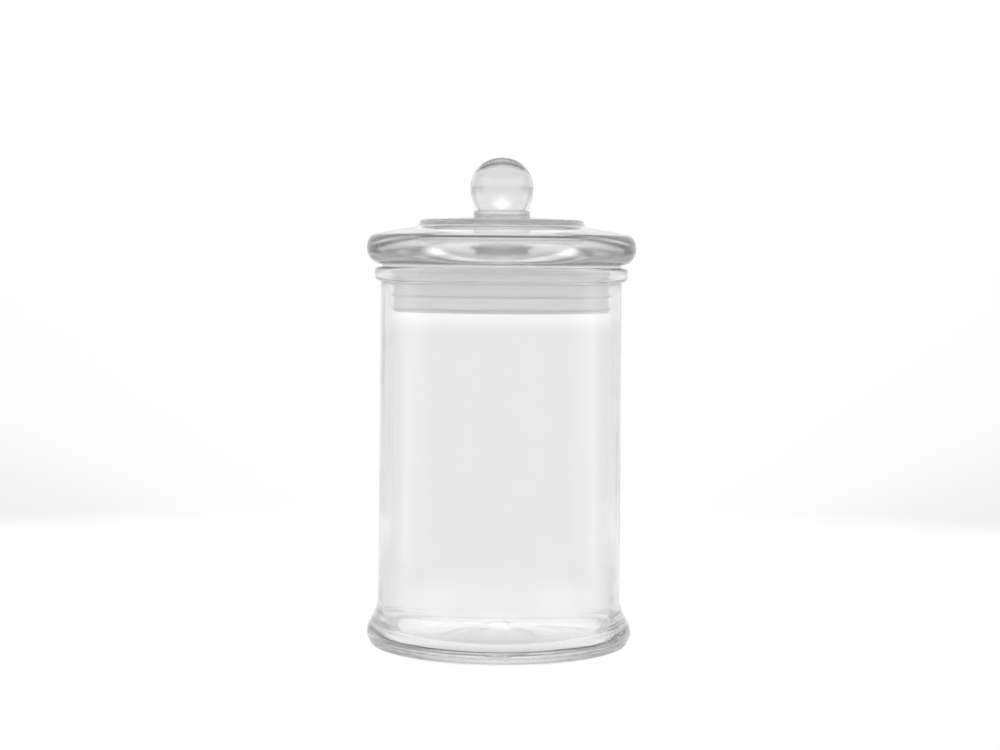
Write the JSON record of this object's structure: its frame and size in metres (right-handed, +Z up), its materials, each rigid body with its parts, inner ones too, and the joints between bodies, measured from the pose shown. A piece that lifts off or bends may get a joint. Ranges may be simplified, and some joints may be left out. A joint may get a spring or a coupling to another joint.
{
  "type": "glass specimen jar with lid",
  "caption": "Round clear glass jar with a flared foot, a pressed glass lid with a ball knob, and a finned plastic sealing collar.",
  "frame": {"origin": "centre of the jar's round footprint, at the plane of the bearing ring that it stands on", "axes": "+Z up along the jar's axis, towards the knob; the object is round, so +X and +Y are equal"},
  "size_m": [0.1, 0.1, 0.1818],
  "materials": {
    "jar_glass": "clear moulded glass, polished by fire, faint upright waviness",
    "lid_glass": "clear pressed glass, polished by fire",
    "knob_glass": "clear pressed glass, polished by fire",
    "seal_plastic": "milky translucent moulded polyethylene, satin"
  },
  "bodies": {
    "jar": {"jar_body": "jar_glass"},
    "seal": {"sealing_collar": "seal_plastic"},
    "lid": {"lid": "lid_glass", "knob": "knob_glass"}
  },
  "joints": [
    {"name": "lid_lift", "type": "slide", "parent": "jar", "child": "seal", "axis": [0, 0, 1], "range_m": [0, 0.05]},
    {"name": "lid_turn", "type": "hinge", "parent": "seal", "child": "lid", "pos_m": [0, 0, 0.1418], "axis": [0, 0, 1], "continuous": true}
  ]
}
